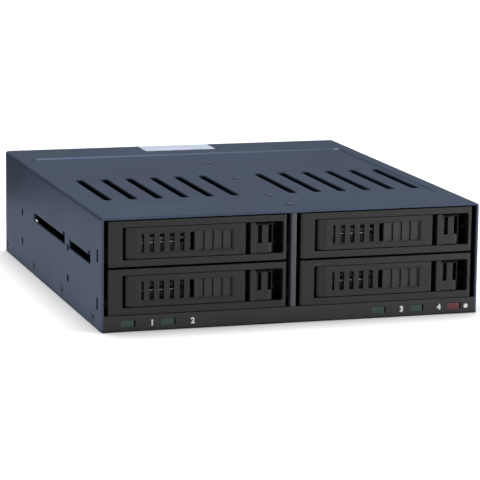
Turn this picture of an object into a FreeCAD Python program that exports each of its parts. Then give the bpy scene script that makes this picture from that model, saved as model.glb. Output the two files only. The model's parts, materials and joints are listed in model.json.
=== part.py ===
import FreeCAD, Part
import math
import os

os.makedirs("parts", exist_ok=True)

# Millimetres. Front of the cage towards -Y, top towards +Z, origin at the bottom centre.

# Cage envelope, a half-height 5.25 inch bay unit, and its sheet metal.
cage_width = 146.0
cage_height = 42.0
cage_depth = 165.4
sheet = 0.8
fold_inside = 0.4
seam = 0.05
rear_corner = 2.5
rear_return = 6.0

# Recessed panel and cooling slots of the top.
panel_margin = 5.5
panel_front_margin = 25.4
panel_rear_margin = 23.0
panel_depth = 0.6
panel_slope = 0.8
panel_corner = 2.0
slot_width = 3.3
slot_length = 48.5
slot_pitch = 10.0
slots_per_group = 6
slot_group_starts = (-60.0, 13.3)
slot_from_front = 40.4

# Standard M3 side and bottom holes of the bay.
bay_hole_radius = 1.5
bay_hole_pitch = 79.25
bay_hole_from_front = 52.25
bay_hole_low = 10.0
bay_hole_rise = 11.84
bottom_hole_span = 139.7

# Front: display strip, centre post and the four tray openings.
strip_height = 6.0
strip_wall = 1.1
strip_depth = 6.0
strip_round = 0.3
post_width = 2.1
post_depth = 3.6
post_wall = 0.6
post_round = 0.5
gap_over_strip = 0.2
gap_between_trays = 0.85
gap_under_top = 0.45
tray_side_gap = 1.55
carrier_side_gap = 0.2

# Status windows in the strip: a lens with a dark slit at its right end.
lens_width = 4.9
lens_height = 2.4
lens_low = 1.7
lens_slit = 0.6
lens_pitch = 15.1
left_lens_from_edge = 7.25
right_lens_from_edge = 6.8
lens_fit = 0.05
lens_length = 2.2
board_thick = 1.2
led_height = 0.7

# Tray moulding.
front_depth = 10.5
front_wall = 1.2
face_wall = 2.0
front_round = 1.2
recess_left = 5.4
recess_right = 1.55
recess_low = 2.5
recess_high = 2.35
recess_round = 0.9
swing_bay = 13.0
back_wall = 1.2

# Lever, its hinge pin and its torsion spring.
face_gap = 0.25
face_set_back = 0.25
barrel_radius = 2.6
pin_radius = 0.9
pin_play = 0.05
pin_behind_face = 3.2
lever_plate = 1.9
lever_rib = 1.0
lever_rib_depth = 1.9
vent_pitch = 3.8
vent_width = 1.75
vent_count = 6
first_vent_end = 7.7
first_vent_width = 1.0
vent_margin = 2.35
grip_steps = 4
grip_gap = 0.3
grip_end = 5.1
grip_sink = 0.5
band_edge = 0.5
band_sink = 0.25
lever_round = 0.4
tooth_reach = 1.2
tooth_thick = 2.2
tooth_height = 2.4
tooth_low = 2.9
wire = 0.6
coil_clear = 0.4
coil_height = 2.4
coil_room = 0.3
spring_leg = 15.2

# Latch beside the lever and its return spring.
latch_gap = 1.8
latch_width = 9.3
latch_stop_gap = 0.8
latch_rib = 2.1
latch_rib_rise = 0.4
rib_set_back = 0.05
latch_plate = 1.8
latch_round = 2.4
latch_travel = 2.5
latch_slot_width = 1.6
latch_slot_height = 6.8
latch_slot_drop = 1.2
latch_slot_ends = (4.4, 8.4)
latch_slot_floors = (0.0, 2.6)
latch_slope = 1.1
latch_ear = 1.0
ear_thick = 1.2
ear_play = 0.2
tongue_gap = 0.9
latch_spring_radius = 1.6
latch_seat_depth = 5.9
latch_seat = 3.0

# Sheet metal carrier for one 2.5 inch drive, screwed from below.
carrier_sheet = 0.4
carrier_floor = 1.8
carrier_flange = 8.6
drive_start = 14.4
drive_length = 100.2
drive_hole_span = 61.72
drive_hole_pitch = 76.6
drive_hole_from_rear = 14.0
drive_hole_radius = 1.6
carrier_slot = 6.0
carrier_slot_pitch = 12.0
carrier_slot_count = 6
carrier_slot_length = 44.0

# Ledges that the carriers run on.
ledge_reach = 2.6
ledge_gap = 0.2
lance_drop = 2.7

# Backplane, rear boards and sockets.
backplane_from_front = 122.7
backplane_thick = 1.6
backplane_low = 1.3
backplane_edge = 3.9
backplane_tab_x = 55.0
backplane_tab_width = 8.0
backplane_tab_height = 8.5
backplane_screw_height = 5.0
header_width = 44.0
header_depth = 9.0
header_foot = 3.4
header_wall = 3.0
header_height = 8.5
port_width = 15.0
port_tier = 8.6
port_depth = 14.0
port_mouth = 6.5
port_opening = 3.0
port_tongue = 1.2
port_xs = (-20.5, -4.0)
power_width = 23.0
power_x = 17.0
connector_width = 41.0
connector_height = 6.6
connector_offset = 6.0
connector_gap = 0.4
shelf_height = 6.0
shelf_half_width = 29.9

# Fans on the rear panel.
fan_depth = 20.0
fan_low_gap = 0.35
fan_top_gap = 1.2
fan_wall = 1.8
fan_corner = 3.0
fan_lip_cover = 0.4
fan_hub = 8.7
fan_blades = 7
fan_tip_gap = 0.7
blade_sweep = 9.0
blade_camber = 1.6
blade_thick = 1.1
fan_flange = 3.2

# Fasteners.
flush_head = 2.0
flush_below = 0.2
flush_rim = 0.3
driver_span = 2.2
driver_width = 0.5
driver_depth = 0.45
flush_sink = 0.75
flush_shank = 1.2
shank_play = 0.06
flush_length = 3.2
side_screw_height = 3.5
side_screws_from_front = (12.9, 61.9)
side_screws_from_rear = (55.5, 6.0)
return_screw_inset = 4.0
return_screws_up = (12.0, 32.0)
divider_screw_x = 2.4
divider_screws_from_front = (13.7, 37.7, 79.4, 118.4)

# Places that follow from the sizes above.
front = -cage_depth / 2
rear = cage_depth / 2
wall_outside = cage_width / 2
wall_inside = wall_outside - sheet
under_top = cage_height - sheet
tray_room = under_top - strip_height - gap_over_strip - gap_between_trays - gap_under_top
tray_height = tray_room / 2
low_tray = strip_height + gap_over_strip
high_tray = low_tray + tray_height + gap_between_trays
bay_inside = post_width / 2
bay_width = wall_inside - bay_inside
tray_width = bay_width - 2 * tray_side_gap
carrier_width = bay_width - 2 * carrier_side_gap
left_bay = -wall_inside + tray_side_gap
right_bay = bay_inside + tray_side_gap
ledge_tops = [low_tray + carrier_floor - ledge_gap, high_tray + carrier_floor - ledge_gap]
backplane_face = front + backplane_from_front
panel_rear_face = rear - sheet - seam
panel_front_face = panel_rear_face - sheet
rear_flange_top = 2 * sheet + seam
fan_size = under_top - fan_top_gap - rear_flange_top - fan_low_gap
fan_middle = rear_flange_top + fan_low_gap + fan_size / 2
fan_bore = fan_size / 2 - fan_wall
fan_hole_span = fan_size - 2 * fan_corner
fan_offset = wall_outside - rear_return + fan_lip_cover - fan_size / 2
pan_edge = wall_inside - seam
pan_inside = pan_edge - sheet
trays = {1: (left_bay, high_tray), 2: (left_bay, low_tray), 3: (right_bay, high_tray), 4: (right_bay, low_tray)}


def corner_points(before, corner, after):
    u, v, radius = corner
    to_before = (before[0] - u, before[1] - v)
    to_after = (after[0] - u, after[1] - v)
    a = [c / math.hypot(*to_before) for c in to_before]
    b = [c / math.hypot(*to_after) for c in to_after]
    half = math.acos(max(-1.0, min(1.0, a[0] * b[0] + a[1] * b[1]))) / 2
    middle = [a[0] + b[0], a[1] + b[1]]
    middle = [c / math.hypot(*middle) for c in middle]
    setback = radius / math.tan(half)
    reach = radius / math.sin(half) - radius
    start = (u + a[0] * setback, v + a[1] * setback)
    top = (u + middle[0] * reach, v + middle[1] * reach)
    return [start, top, (u + b[0] * setback, v + b[1] * setback)]


def to_space(point, plane, level):
    if plane == "xy":
        return FreeCAD.Vector(point[0], point[1], level)
    if plane == "xz":
        return FreeCAD.Vector(point[0], level, point[1])
    return FreeCAD.Vector(level, point[0], point[1])


def outline(corners, plane, level):
    """Closed wire through (u, v) corners; a third number rounds that corner."""
    runs = []
    for i, corner in enumerate(corners):
        if len(corner) == 3 and corner[2] > 0:
            runs.append(corner_points(corners[i - 1], corner, corners[(i + 1) % len(corners)]))
        else:
            runs.append([corner[:2]])
    edges = []
    for i, run in enumerate(runs):
        points = [to_space(p, plane, level) for p in run]
        if len(points) == 3:
            edges.append(Part.Arc(*points).toShape())
        following = to_space(runs[(i + 1) % len(runs)][0], plane, level)
        if points[-1].distanceToPoint(following) > 1e-5:
            edges.append(Part.LineSegment(points[-1], following).toShape())
    return Part.Wire(edges)


def pushed(wire, plane, start, end):
    normal = {"xy": (0, 0, 1), "xz": (0, 1, 0), "yz": (1, 0, 0)}[plane]
    return Part.Face(wire).extrude(FreeCAD.Vector(*normal) * (end - start))


def prism(corners, plane, start, end):
    return pushed(outline(corners, plane, start), plane, start, end)


def rect(u0, u1, v0, v1, radius=0):
    return [(u0, v0, radius), (u1, v0, radius), (u1, v1, radius), (u0, v1, radius)]


def block(x0, x1, y0, y1, z0, z1, radius=0):
    return prism(rect(x0, x1, y0, y1, radius), "xy", z0, z1)


def slot(u0, u1, v0, v1, plane, start, end):
    """Straight slot with round ends, along its longer side."""
    if v1 - v0 > u1 - u0:
        r = (u1 - u0) / 2
        points = [(u0, v0 + r), (u0 + r, v0), (u1, v0 + r), (u1, v1 - r), (u0 + r, v1), (u0, v1 - r)]
    else:
        r = (v1 - v0) / 2
        points = [(u1 - r, v0), (u1, v0 + r), (u1 - r, v1), (u0 + r, v1), (u0, v0 + r), (u0 + r, v0)]
    p = [to_space(point, plane, start) for point in points]
    edges = [Part.Arc(p[0], p[1], p[2]).toShape(), Part.LineSegment(p[2], p[3]).toShape()]
    edges += [Part.Arc(p[3], p[4], p[5]).toShape(), Part.LineSegment(p[5], p[0]).toShape()]
    return pushed(Part.Wire(edges), plane, start, end)


def rod(x, y, z, direction, radius, length):
    return Part.makeCylinder(radius, length, FreeCAD.Vector(x, y, z), FreeCAD.Vector(*direction))


def folded(path, thickness, inside):
    """Outline of a bent sheet: path is its right-hand side, the metal lies to the left."""
    headings = []
    for a, b in zip(path, path[1:]):
        length = math.hypot(b[0] - a[0], b[1] - a[1])
        headings.append(((b[0] - a[0]) / length, (b[1] - a[1]) / length))
    lefts = [(-h[1], h[0]) for h in headings]
    right_side = [path[0]]
    left_side = [(path[0][0] + lefts[0][0] * thickness, path[0][1] + lefts[0][1] * thickness)]
    for i in range(1, len(path) - 1):
        before, after = lefts[i - 1], lefts[i]
        spread = thickness / (1 + before[0] * after[0] + before[1] * after[1])
        turn = headings[i - 1][0] * headings[i][1] - headings[i - 1][1] * headings[i][0]
        radii = (inside + thickness, inside) if turn > 0 else (inside, inside + thickness)
        u, v = path[i]
        right_side.append((u, v, radii[0]))
        left_side.append((u + (before[0] + after[0]) * spread, v + (before[1] + after[1]) * spread, radii[1]))
    u, v = path[-1]
    right_side.append((u, v))
    left_side.append((u + lefts[-1][0] * thickness, v + lefts[-1][1] * thickness))
    return right_side + left_side[::-1]


def mirrored(shape):
    return shape.mirror(FreeCAD.Vector(0, 0, 0), FreeCAD.Vector(1, 0, 0))


def moved(shape, x, y, z):
    copy = shape.copy()
    copy.translate(FreeCAD.Vector(x, y, z))
    return copy


def joined(shapes):
    result = shapes[0]
    if len(shapes) > 1:
        result = result.multiFuse(shapes[1:])
    return result.removeSplitter()


def without(shape, tools):
    return shape.cut(tools)


def save(name, shape):
    shape.exportStep("parts/" + name + ".step")
    print(name, len(shape.Solids), round(shape.Volume, 1), shape.isValid())


def flush_screw(x, y, z, direction):
    """Countersunk screw with a cross recess, its head a little below the sheet."""
    aim = FreeCAD.Vector(*direction)
    place = FreeCAD.Vector(x, y, z) + aim * flush_below
    head = Part.makeCone(flush_head, flush_shank, flush_sink - flush_below, place, aim)
    shank = Part.makeCylinder(flush_shank, flush_length - flush_below, place, aim)
    screw = head.fuse(shank)
    seat = FreeCAD.Placement(place, FreeCAD.Rotation(FreeCAD.Vector(0, 0, 1), aim))
    for length, width in ((driver_span, driver_width), (driver_width, driver_span)):
        groove = Part.makeBox(length, width, driver_depth, FreeCAD.Vector(-length / 2, -width / 2, 0))
        groove.Placement = seat.multiply(groove.Placement)
        screw = screw.cut(groove)
    return screw


def flush_hole(x, y, z, direction):
    aim = FreeCAD.Vector(*direction)
    place = FreeCAD.Vector(x, y, z)
    sink = Part.makeCone(flush_head + flush_rim, flush_shank + shank_play, flush_sink, place, aim)
    return sink.fuse(Part.makeCylinder(flush_shank + shank_play, flush_length, place, aim))


def pan_screw(x, y, z, direction, head_radius, head_height, shank_radius, length):
    aim = FreeCAD.Vector(*direction)
    place = FreeCAD.Vector(x, y, z)
    head = Part.makeCylinder(head_radius, head_height, place - aim * head_height, aim)
    shank = Part.makeCylinder(shank_radius, length, place, aim)
    return head.fuse(shank)


def side_spots():
    ys = [front + d for d in side_screws_from_front] + [rear - d for d in side_screws_from_rear]
    spots = []
    for y in ys:
        spots.append((wall_outside, y, side_screw_height, (-1, 0, 0)))
        spots.append((-wall_outside, y, side_screw_height, (1, 0, 0)))
    return spots


def return_spots():
    x = wall_outside - return_screw_inset
    return [(side * x, rear, z, (0, -1, 0)) for z in return_screws_up for side in (-1, 1)]


def divider_spots():
    in_panel = cage_height - panel_depth
    heights = [cage_height] + [in_panel] * (len(divider_screws_from_front) - 1)
    return [(divider_screw_x, front + d, z, (0, 0, -1)) for d, z in zip(divider_screws_from_front, heights)]


def screw_holes(spots):
    return [flush_hole(*spot) for spot in spots]


def panel_form(top):
    """The pressed recess of the top, measured down from the given surface."""
    x = wall_outside - panel_margin
    y0 = front + panel_front_margin
    y1 = rear - panel_rear_margin
    s = panel_slope
    rim = outline(rect(-x, x, y0, y1, panel_corner + s), "xy", top)
    floor = outline(rect(s - x, x - s, y0 + s, y1 - s, panel_corner), "xy", top - panel_depth)
    return Part.makeLoft([rim, floor], True)


# Lanced side ledges: rear end, front end and front end of the relief notch, from the front face.
ledge_spans = [(109.9, 60.9, 57.1), (49.9, 20.9, 16.9)]
catch_window = (5.3, 7.7)
catch_window_low = 1.1
catch_window_high = 5.6
notch_rise = 1.2


def lanced_ledge(top, y0, y1):
    """Tab bent inwards from the right-hand wall, with the wall above it."""
    low = top - sheet
    path = [(wall_inside - ledge_reach, low), (wall_outside, low), (wall_outside, top + notch_rise)]
    return prism(folded(path, sheet, fold_inside), "xz", y0, y1)


def top_cover():
    section = [(wall_outside, 0), (wall_outside, cage_height), (-wall_outside, cage_height), (-wall_outside, 0)]
    cover = prism(folded(section, sheet, fold_inside), "xz", front, rear)
    plan = [(-wall_outside, front), (wall_outside, front)]
    plan += [(wall_outside, rear, rear_corner), (-wall_outside, rear, rear_corner)]
    cover = cover.common(prism(plan, "xy", 0, cage_height))
    lip_path = [(wall_outside, rear - rear_return), (wall_outside, rear), (wall_outside - rear_return, rear)]
    lip = prism(folded(lip_path, sheet, rear_corner - sheet), "xy", 0, under_top - fold_inside)
    cover = joined([cover, lip, mirrored(lip), panel_form(under_top)])
    cuts = [panel_form(cage_height)]
    top = ledge_tops[1]
    ledges = []
    for back, start, notch in ledge_spans:
        lance = block(wall_inside - 1, wall_outside + 1, front + notch, front + back,
                      top - sheet - lance_drop, top + notch_rise)
        cuts += [lance, mirrored(lance)]
        ledge = lanced_ledge(top, front + start, front + back - 0.3)
        ledges += [ledge, mirrored(ledge)]
    cover = without(cover, cuts)
    cover = joined([cover] + ledges)
    cuts = []
    slot_front = front + slot_from_front
    for first in slot_group_starts:
        for i in range(slots_per_group):
            x = first + i * slot_pitch
            cuts.append(slot(x - slot_width / 2, x + slot_width / 2, slot_front, slot_front + slot_length,
                             "xy", under_top - 2, cage_height + 1))
    for i in range(2):
        y = front + bay_hole_from_front + i * bay_hole_pitch
        for z in (bay_hole_low, bay_hole_low + bay_hole_rise):
            cuts.append(rod(-wall_outside - 1, y, z, (1, 0, 0), bay_hole_radius, cage_width + 2))
    for tray in (low_tray, high_tray):
        cuts.append(block(-wall_outside - 1, 1 - wall_inside, front + catch_window[0], front + catch_window[1],
                          tray + catch_window_low, tray + catch_window_high))
    cuts += screw_holes(side_spots() + return_spots() + divider_spots())
    return without(cover, cuts)


def base_pan():
    top = ledge_tops[0]
    tip = wall_inside - ledge_reach
    channel = [(-tip, top), (-pan_edge, top), (-pan_edge, 0), (pan_edge, 0), (pan_edge, top), (tip, top)]
    pan_front = front + strip_depth + seam
    pan = prism(folded(channel, sheet, fold_inside), "xz", pan_front + 2, rear - rear_corner - seam)
    lip = [(pan_front, strip_height - strip_wall), (pan_front, 0), (pan_front + 10, 0)]
    lip_edge = pan_inside - fold_inside
    pan = joined([pan, prism(folded(lip, sheet, fold_inside), "yz", -lip_edge, lip_edge)])
    ledge_start = front + front_depth + 0.3
    ledge_end = backplane_face - seam
    cuts = []
    for side in (-1, 1):
        x0, x1 = sorted((side * (tip - 1), side * pan_inside))
        cuts.append(block(x0, x1, ledge_end, rear, top - sheet - 0.5, top + 1))
        x0, x1 = sorted((side * (tip - 1), side * (pan_edge + 1)))
        cuts.append(block(x0, x1, ledge_end, rear, top - sheet - fold_inside, top + 1))
        x0, x1 = sorted((side * (tip - 1), side * pan_inside))
        cuts.append(block(x0, x1, front, ledge_start, top - sheet - fold_inside, top + 1))
        for i in range(2):
            y = front + bay_hole_from_front + i * bay_hole_pitch
            cuts.append(rod(side * bottom_hole_span / 2, y, -1, (0, 0, 1), bay_hole_radius, sheet + 2))
    tab_face = backplane_face + backplane_thick + seam
    tabs = []
    for side in (-1, 1):
        x0 = side * backplane_tab_x - backplane_tab_width / 2
        x1 = x0 + backplane_tab_width
        cuts.append(block(x0 - 1, x1 + 1, tab_face - backplane_tab_height, tab_face, -1, sheet + 1))
        path = [(tab_face, backplane_tab_height), (tab_face, 0), (tab_face + 4, 0)]
        tabs.append(prism(folded(path, sheet, fold_inside), "yz", x0, x1))
    pan = joined([without(pan, cuts)] + tabs)
    holes = screw_holes(side_spots())
    for side in (-1, 1):
        holes.append(rod(side * backplane_tab_x, tab_face - 1, backplane_screw_height, (0, 1, 0), 1.3, 4))
    return without(pan, holes)


flange_reach = 6.0
flange_front = front + 26.5
front_tab = (front + 11.0, front + 16.2)
wall_front = front + 2.8
wall_tabs_right = [(30.0, 52.0), (84.0, 106.0)]
wall_tabs_left = [(56.0, 78.0), (22.0, 28.0)]


def divider_section(top, foot):
    half = sheet / 2
    path = [(half, foot), (half, top - sheet), (flange_reach, top - sheet)]
    return folded(path, sheet, fold_inside)


def centre_wall():
    half = sheet / 2
    foot = sheet + seam
    panel_under = under_top - panel_depth - seam
    back = backplane_face - seam
    foot_path = [(-flange_reach - 2, foot), (half, foot), (half, foot + 5)]
    pieces = [prism(folded(foot_path, sheet, fold_inside), "xz", front + 9.0, back)]
    behind_lip = front + strip_depth + 2 * seam + sheet
    pieces.append(block(-half, half, behind_lip, back, foot + 2, panel_under - 1.5))
    pieces.append(block(-half, half, wall_front, front + 27, strip_height + 1, panel_under - 1.5))
    pieces.append(block(-half, half, wall_front, front + 20, panel_under - 2, under_top - seam))
    pieces.append(prism(divider_section(panel_under, 20), "xz", flange_front, back))
    pieces.append(prism(divider_section(under_top - seam, 20), "xz", *front_tab))
    wall = joined(pieces)
    cuts = []
    ledges = []
    for top in ledge_tops:
        low = top - sheet
        path = [(half + ledge_reach, low), (-half, low), (-half, top + 1.2)]
        mirrored_path = [(-half - ledge_reach, low), (half, low), (half, top + 1.2)]
        for start, end in wall_tabs_right:
            cuts.append(block(-1, 1, front + start - 1, front + end + 1, low - lance_drop, top + 1.2))
            section = folded(path[::-1], sheet, fold_inside)
            ledges.append(prism(section, "xz", front + start, front + end))
        for start, end in wall_tabs_left:
            cuts.append(block(-1, 1, front + start - 1, front + end + 1, low - lance_drop, top + 1.2))
            section = folded(mirrored_path, sheet, fold_inside)
            ledges.append(prism(section, "xz", front + start, front + end))
    wall = joined([without(wall, cuts)] + ledges)
    cuts = screw_holes(divider_spots())
    for tray in (low_tray, high_tray):
        cuts.append(block(-1, 1, front + catch_window[0], front + catch_window[1],
                          tray + catch_window_low, tray + catch_window_high))
    return without(wall, cuts)


def centre_post():
    half = post_width / 2
    plan = [(-half, front, post_round), (half, front, post_round), (half, front + post_depth)]
    plan += [(half - post_wall, front + post_depth), (half - post_wall, wall_front - seam)]
    plan += [(post_wall - half, wall_front - seam), (post_wall - half, front + post_depth)]
    plan += [(-half, front + post_depth)]
    return prism(plan, "xy", strip_height + seam, under_top - seam)


def lens_centres():
    left = left_lens_from_edge + lens_width / 2 - wall_outside
    right = wall_outside - right_lens_from_edge - lens_width / 2
    return [left, left + lens_pitch, right - 2 * lens_pitch, right - lens_pitch, right]


def front_bezel():
    back = front + strip_depth
    inner = front + face_wall
    top = strip_height - strip_wall
    section = [(front, 0, strip_round), (front, strip_height, strip_round), (back, strip_height), (back, top)]
    section += [(inner, top, strip_round), (inner, strip_wall, strip_round), (back, strip_wall), (back, 0)]
    edge = wall_inside - seam
    bezel = prism(section, "yz", -edge, edge)
    cuts = []
    for x in lens_centres():
        x0 = x - lens_width / 2 - lens_fit
        cuts.append(block(x0, x0 + lens_width + lens_slit, front - 1, inner + 1,
                          lens_low - lens_fit, lens_low + lens_height + lens_fit))
    return without(bezel, cuts)


def lens(x):
    half = lens_width / 2
    return block(x - half, x + half, front, front + lens_length, lens_low, lens_low + lens_height)


def led_board():
    face = front + lens_length + seam + led_height
    reach = wall_inside - 2.0
    clear = strip_wall + seam
    board = block(-reach, reach, face, face + board_thick, clear, strip_height - clear)
    middle = lens_low + lens_height / 2
    leds = [block(x - 1.6, x + 1.6, face - led_height, face, middle - 0.8, middle + 0.8) for x in lens_centres()]
    return joined([board] + leds)


def backplane():
    reach = wall_inside - backplane_edge
    top = under_top - panel_depth - 0.8
    board = prism(rect(-reach, reach, backplane_low, top, 1.0), "xz", backplane_face,
                  backplane_face + backplane_thick)
    cuts = []
    for x, z in trays.values():
        middle = x + tray_width / 2
        for i in range(4):
            x0 = middle - 27 + i * 14.5
            z0 = z + tray_height - 4.6
            cuts.append(prism(rect(x0, x0 + 10.5, z0, z0 + 3.4, 1.5), "xz", backplane_face - 1,
                              backplane_face + backplane_thick + 1))
    for side in (-1, 1):
        cuts.append(rod(side * backplane_tab_x, backplane_face - 1, backplane_screw_height, (0, 1, 0), 1.3, 4))
    return without(board, cuts)


def drive_connector():
    """Receptacle on the backplane, in its tray's frame: signal and power slots side by side."""
    rear_face = backplane_from_front - seam
    front_face = drive_start + drive_length + connector_gap
    middle = tray_width / 2 + connector_offset
    half = connector_width / 2
    low = carrier_floor + carrier_sheet + 0.6
    high = low + connector_height
    body = prism(rect(middle - half, middle + half, low, high, 0.6), "xz", front_face, rear_face)
    slot_low = low + 2.6
    cuts = []
    for start, end in ((4.0, 14.6), (16.0, 37.0)):
        cuts.append(block(middle - half + start, middle - half + end, front_face - 1, rear_face - 2,
                          slot_low, slot_low + 2.2))
    ears = []
    for x in (middle - half + 0.9, middle + half - 0.9):
        ears.append(prism([(x - 0.9, front_face - 0.2), (x + 0.9, front_face - 0.2), (x + 0.9, rear_face),
                           (x - 0.9, rear_face)], "xy", low - 0.4, high + 0.4))
    return joined([without(body, cuts)] + ears)


standoff_radius = 2.3
standoff_xs = (-25.0, 25.0)
standoff_ys = (front + 128.0, front + 150.0)
shelf_thick = 1.6
port_rear = panel_rear_face + 0.4


def io_board():
    board = block(-shelf_half_width + 1, shelf_half_width - 1, backplane_face + backplane_thick + 0.3,
                  panel_front_face - 0.5, shelf_height, shelf_height + shelf_thick)
    holes = [rod(x, y, shelf_height - 1, (0, 0, 1), 1.25, 4) for x in standoff_xs for y in standoff_ys]
    return without(board, holes)


def io_standoffs():
    foot = sheet + seam
    shapes = []
    for x in standoff_xs:
        for y in standoff_ys:
            corners = []
            for i in range(6):
                angle = math.radians(60 * i)
                corners.append((x + standoff_radius * math.cos(angle), y + standoff_radius * math.sin(angle)))
            shapes.append(prism(corners, "xy", foot, shelf_height - seam))
    return Part.makeCompound(shapes)


def board_header():
    start = backplane_face + backplane_thick + seam
    low = shelf_height + shelf_thick + seam
    section = [(start, low), (start + header_depth, low), (start + header_depth, low + header_foot),
               (start + header_wall, low + header_foot, 0.5), (start + header_wall, low + header_height, 0.5),
               (start, low + header_height)]
    return prism(section, "yz", -header_width / 2, header_width / 2)


def stacked_socket(x, width, tiers, tier_height, slot_width_ratio, tongue):
    """Stacked edge sockets that look out through the rear panel."""
    low = shelf_height + shelf_thick + seam
    start = port_rear - port_depth
    body = prism(rect(x - width / 2, x + width / 2, low, low + tiers * tier_height, 0.5), "xz", start, port_rear)
    cuts = []
    tongues = []
    half = width * slot_width_ratio / 2
    for i in range(tiers):
        middle = low + (i + 0.5) * tier_height
        cuts.append(block(x - half, x + half, port_rear - port_mouth, port_rear + 1,
                          middle - port_opening / 2, middle + port_opening / 2))
        tongues.append(block(x - half + 1, x + half - tongue, port_rear - port_mouth - 0.5, port_rear - 0.8,
                             middle - port_tongue / 2, middle + port_tongue / 2))
    return joined([without(body, cuts)] + tongues)


def data_ports():
    return [stacked_socket(x, port_width, 2, port_tier, 0.7, 3.0) for x in port_xs]


def power_sockets():
    return [stacked_socket(power_x, power_width, 2, port_tier, 0.86, 4.0)]


def rear_panel():
    path = [(panel_rear_face - 9, sheet + seam), (panel_rear_face, sheet + seam), (panel_rear_face, under_top - seam)]
    edge = wall_outside - rear_corner - seam
    panel = prism(folded(path, sheet, fold_inside), "yz", -edge, edge)
    cuts = []
    guards = []
    middle = fan_middle
    y0, y1 = panel_front_face - 1, panel_rear_face + 1
    for side in (-1, 1):
        x = side * fan_offset
        cuts.append(rod(x, y0, middle, (0, 1, 0), fan_bore, 4))
        guards += fan_guard(x, middle)
        for dx in (-fan_hole_span / 2, fan_hole_span / 2):
            for dz in (-fan_hole_span / 2, fan_hole_span / 2):
                cuts.append(rod(x + dx, y0, middle + dz, (0, 1, 0), 1.5, 4))
    low = shelf_height + shelf_thick
    high = low + 2 * port_tier + 0.4
    for x, width in [(x, port_width) for x in port_xs] + [(power_x, power_width)]:
        cuts.append(prism(rect(x - width / 2 - 0.3, x + width / 2 + 0.3, low - 0.3, high, 0.5), "xz", y0, y1))
    panel = joined([without(panel, cuts)] + guards)
    return without(panel, screw_holes(return_spots()))


def ring(x, z, outer, inner, y0, y1):
    solid = rod(x, y0, z, (0, 1, 0), outer, y1 - y0)
    return solid.cut(rod(x, y0 - 1, z, (0, 1, 0), inner, y1 - y0 + 2))


def fan_guard(x, z):
    """Finger guard punched in the panel: a disc, two rings and four spokes."""
    y0, y1 = panel_front_face, panel_rear_face
    pieces = [rod(x, y0, z, (0, 1, 0), 5.0, y1 - y0)]
    pieces.append(ring(x, z, 9.9, 8.6, y0, y1))
    pieces.append(ring(x, z, 14.2, 12.9, y0, y1))
    for k in range(4):
        spoke = block(x - 0.75, x + 0.75, y0, y1, z + 4.5, z + fan_bore + 0.3)
        spoke.rotate(FreeCAD.Vector(x, y0, z), FreeCAD.Vector(0, 1, 0), 45 + 90 * k)
        pieces.append(spoke)
    return pieces


fan_back = panel_front_face - seam
fan_front = fan_back - fan_depth
hub_length = 2.4
shaft_radius = 1.5
blade_root = fan_hub - 1.2
blade_tip = math.sqrt((fan_bore - fan_tip_gap) ** 2 - (blade_sweep / 2 + blade_thick) ** 2)


def fan_frame(x):
    half = fan_size / 2
    frame = prism(rect(x - half, x + half, fan_middle - half, fan_middle + half, 2.5), "xz", fan_front, fan_back)
    cuts = [rod(x, fan_front - 1, fan_middle, (0, 1, 0), fan_bore, fan_depth + 2)]
    waist = block(x - half - 1, x + half + 1, fan_front + fan_flange, fan_back - fan_flange,
                  fan_middle - half - 1, fan_middle + half + 1)
    cuts.append(waist.cut(rod(x, fan_front, fan_middle, (0, 1, 0), half - 0.6, fan_depth)))
    for dx in (-fan_hole_span / 2, fan_hole_span / 2):
        for dz in (-fan_hole_span / 2, fan_hole_span / 2):
            cuts.append(rod(x + dx, fan_front - 1, fan_middle + dz, (0, 1, 0), 1.5, fan_depth + 2))
    frame = without(frame, cuts)
    hub_front = fan_back - hub_length
    pieces = [rod(x, hub_front, fan_middle, (0, 1, 0), fan_hub, hub_length)]
    for k in range(3):
        strut = block(x - 1.1, x + 1.1, hub_front, fan_back, fan_middle + fan_hub - 1, fan_middle + fan_bore + 0.4)
        strut.rotate(FreeCAD.Vector(x, 0, fan_middle), FreeCAD.Vector(0, 1, 0), 30 + 120 * k)
        pieces.append(strut)
    frame = joined([frame] + pieces)
    return frame.cut(rod(x, hub_front - 1, fan_middle, (0, 1, 0), shaft_radius + pin_play, hub_length + 2))


def blade(x, start, end, turn):
    """One fan blade: a cambered strip that crosses the rotor's depth on a slant."""
    lead = (-blade_sweep / 2, start + 0.6)
    trail = (blade_sweep / 2, end - 0.6)
    middle = (blade_camber, (start + end) / 2)
    back = [(u + blade_thick, v) for u, v in (lead, middle, trail)]
    p = [FreeCAD.Vector(x + u, v, fan_middle + blade_root) for u, v in (lead, middle, trail, *back[::-1])]
    edges = [Part.Arc(p[0], p[1], p[2]).toShape(), Part.LineSegment(p[2], p[3]).toShape()]
    edges += [Part.Arc(p[3], p[4], p[5]).toShape(), Part.LineSegment(p[5], p[0]).toShape()]
    shape = pushed(Part.Wire(edges), "xy", 0, blade_tip - blade_root)
    shape.rotate(FreeCAD.Vector(x, 0, fan_middle), FreeCAD.Vector(0, 1, 0), turn)
    return shape


def fan_rotor(x):
    start = fan_front + 1.0
    end = fan_back - hub_length - 0.5
    profile = [(0, start), (fan_hub - 0.2, start, 1.2), (fan_hub - 0.2, end), (shaft_radius, end),
               (shaft_radius, fan_back - 0.4), (0, fan_back - 0.4)]
    hub = Part.Face(outline(profile, "xy", 0)).revolve(FreeCAD.Vector(0, 0, 0), FreeCAD.Vector(0, 1, 0), 360)
    hub.translate(FreeCAD.Vector(x, 0, fan_middle))
    return joined([hub] + [blade(x, start, end, 360.0 / fan_blades * k) for k in range(fan_blades)])


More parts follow.
